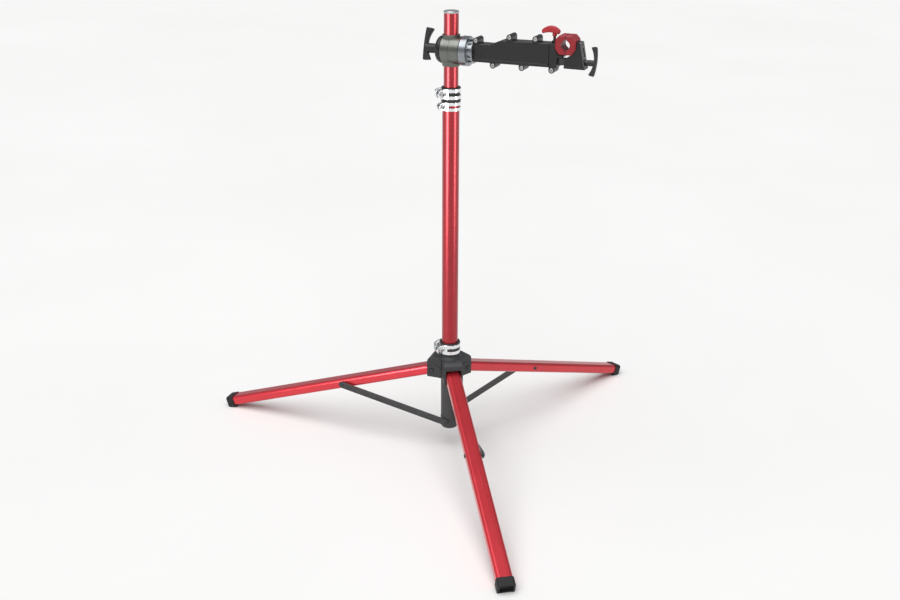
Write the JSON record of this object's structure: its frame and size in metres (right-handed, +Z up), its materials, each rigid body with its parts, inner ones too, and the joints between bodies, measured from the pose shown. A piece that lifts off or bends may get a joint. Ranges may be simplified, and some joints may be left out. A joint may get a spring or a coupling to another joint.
{
  "type": "bike repair stand",
  "caption": "Folding tripod repair stand with a telescoping mast, quick-release collars and a rotating arm that ends in a split clamp jaw.",
  "frame": {"origin": "on the floor, on the axis of the mast", "axes": "+Z up the mast, +X along the clamp arm; the legs stand at azimuths -56, 64 and 184 degrees from +X"},
  "size_m": [1.0204, 1.1313, 1.103],
  "materials": {
    "black_moulding": "fine-grained black glass-filled nylon",
    "black_rubber": "moulded black rubber",
    "bright_steel": "zinc-plated steel",
    "cast_alloy": "turned gunmetal alloy casting",
    "chrome": "polished chrome plate",
    "dark_steel": "black oxide steel",
    "red_anodised": "satin red anodised aluminium",
    "red_plastic": "satin moulded red plastic",
    "red_rubber": "smooth moulded red rubber",
    "satin_alloy": "bare satin alloy"
  },
  "bodies": {
    "mast": {"lower_tube": "red_anodised", "bottom_sleeve": "black_moulding", "bottom_plug": "black_moulding", "strut_bolts": "bright_steel", "top_bushing": "black_moulding", "join_band": "chrome", "join_screw": "bright_steel", "height_clamp_band": "chrome", "height_clamp_bolt": "bright_steel", "height_clamp_pin": "bright_steel"},
    "height_lever": {"height_clamp_lever": "chrome"},
    "collar": {"collar_casting": "black_moulding", "collar_liner": "black_moulding", "leg_pivot_bolts": "bright_steel", "collar_clamp_band": "chrome", "collar_clamp_bolt": "bright_steel", "collar_clamp_pin": "bright_steel"},
    "collar_lever": {"collar_clamp_lever": "chrome"},
    "guide": {"guide_bushing": "black_moulding"},
    "head": {"upper_tube": "red_anodised", "top_cap": "satin_alloy", "head_casting": "cast_alloy", "grub_screws": "dark_steel", "pressure_cap": "black_moulding"},
    "arm": {"arm_shaft": "dark_steel", "index_ring": "satin_alloy", "arm_front_shell": "black_moulding", "arm_rear_shell": "black_moulding", "arm_screws": "bright_steel", "fixed_jaw_block": "black_moulding", "fixed_jaw_pad": "red_rubber", "release_spring": "bright_steel"},
    "lock": {"lock_handle": "black_moulding"},
    "release": {"release_stem": "dark_steel", "release_handle": "red_plastic"},
    "bar": {"ratchet_bar": "dark_steel"},
    "jaw": {"sliding_block": "black_moulding", "moving_jaw_pad": "red_rubber", "jaw_end_plate": "cast_alloy"},
    "feed": {"feed_screw": "dark_steel", "clamp_handle": "black_moulding"},
    "front_leg": {"front_leg": "red_anodised", "front_leg_rivet": "bright_steel", "front_foot": "black_rubber"},
    "front_strut": {"front_strut": "dark_steel", "front_strut_rivet": "bright_steel"},
    "right_leg": {"right_leg": "red_anodised", "right_leg_rivet": "bright_steel", "right_foot": "black_rubber"},
    "right_strut": {"right_strut": "dark_steel", "right_strut_rivet": "bright_steel"},
    "left_leg": {"left_leg": "red_anodised", "left_leg_rivet": "bright_steel", "left_foot": "black_rubber"},
    "left_strut": {"left_strut": "dark_steel", "left_strut_rivet": "bright_steel"}
  },
  "joints": [
    {"name": "collar_slide", "type": "slide", "parent": "mast", "child": "collar", "axis": [0, 0, 1], "range_m": [0, 0.4139]},
    {"name": "collar_lever_turn", "type": "hinge", "parent": "collar", "child": "collar_lever", "pos_m": [-0.02716, -0.02104, 0.2765], "axis": [0, 0, 1], "range_deg": [0, 120]},
    {"name": "height_lever_turn", "type": "hinge", "parent": "mast", "child": "height_lever", "pos_m": [-0.02576, -0.01861, 0.918], "axis": [0, 0, 1], "range_deg": [0, 120]},
    {"name": "mast_slide", "type": "slide", "parent": "mast", "child": "guide", "axis": [0, 0, 1], "range_m": [-0.044, 0.6]},
    {"name": "head_swivel", "type": "hinge", "parent": "guide", "child": "head", "pos_m": [0, 0, 0.17], "axis": [0, 0, 1], "continuous": true},
    {"name": "arm_turn", "type": "hinge", "parent": "head", "child": "arm", "pos_m": [0, 0, 1.016], "axis": [1, 0, 0], "continuous": true},
    {"name": "lock_turn", "type": "hinge", "parent": "arm", "child": "lock", "pos_m": [-0.04, 0, 1.016], "axis": [-1, 0, 0], "range_deg": [0, 720]},
    {"name": "release_pull", "type": "slide", "parent": "arm", "child": "release", "axis": [0, 0, 1], "range_m": [0, 0.005], "stiffness_N_per_m": 800, "springref_m": -0.003, "deforming": ["release_spring"]},
    {"name": "bar_slide", "type": "slide", "parent": "arm", "child": "bar", "axis": [1, 0, 0], "range_m": [0, 0.05]},
    {"name": "jaw_feed", "type": "slide", "parent": "bar", "child": "jaw", "axis": [1, 0, 0], "range_m": [0, 0.01]},
    {"name": "feed_turn", "type": "hinge", "parent": "jaw", "child": "feed", "pos_m": [0.31, 0, 1.012], "axis": [1, 0, 0], "range_deg": [0, 720]},
    {"name": "front_leg_fold", "type": "hinge", "parent": "collar", "child": "front_leg", "pos_m": [0.02237, -0.03316, 0.214], "axis": [0.829, 0.5592, 0], "range_deg": [0, 71.48]},
    {"name": "front_strut_fold", "type": "hinge", "parent": "mast", "child": "front_strut", "pos_m": [0.02002, 0.0135, 0.071], "axis": [-0.829, -0.5592, 0], "range_deg": [0, 70.78]},
    {"name": "right_leg_fold", "type": "hinge", "parent": "collar", "child": "right_leg", "pos_m": [0.01753, 0.03595, 0.214], "axis": [-0.8988, 0.4384, 0], "range_deg": [0, 71.48]},
    {"name": "right_strut_fold", "type": "hinge", "parent": "mast", "child": "right_strut", "pos_m": [-0.02171, 0.01059, 0.071], "axis": [0.8988, -0.4384, 0], "range_deg": [0, 70.78]},
    {"name": "left_leg_fold", "type": "hinge", "parent": "collar", "child": "left_leg", "pos_m": [-0.0399, -0.00279, 0.214], "axis": [0.0698, -0.9976, 0], "range_deg": [0, 71.48]},
    {"name": "left_strut_fold", "type": "hinge", "parent": "mast", "child": "left_strut", "pos_m": [0.00169, -0.02409, 0.071], "axis": [-0.0698, 0.9976, 0], "range_deg": [0, 70.78]}
  ],
  "couplings": [
    {"joint": "feed_turn", "follows": "jaw_feed", "rad_per_m": 1256},
    {"joint": "front_leg_fold", "follows": "collar_slide", "rad_per_m": 3.0121},
    {"joint": "front_strut_fold", "follows": "collar_slide", "rad_per_m": 2.9824},
    {"joint": "right_leg_fold", "follows": "collar_slide", "rad_per_m": 3.0121},
    {"joint": "right_strut_fold", "follows": "collar_slide", "rad_per_m": 2.9824},
    {"joint": "left_leg_fold", "follows": "collar_slide", "rad_per_m": 3.0121},
    {"joint": "left_strut_fold", "follows": "collar_slide", "rad_per_m": 2.9824}
  ]
}
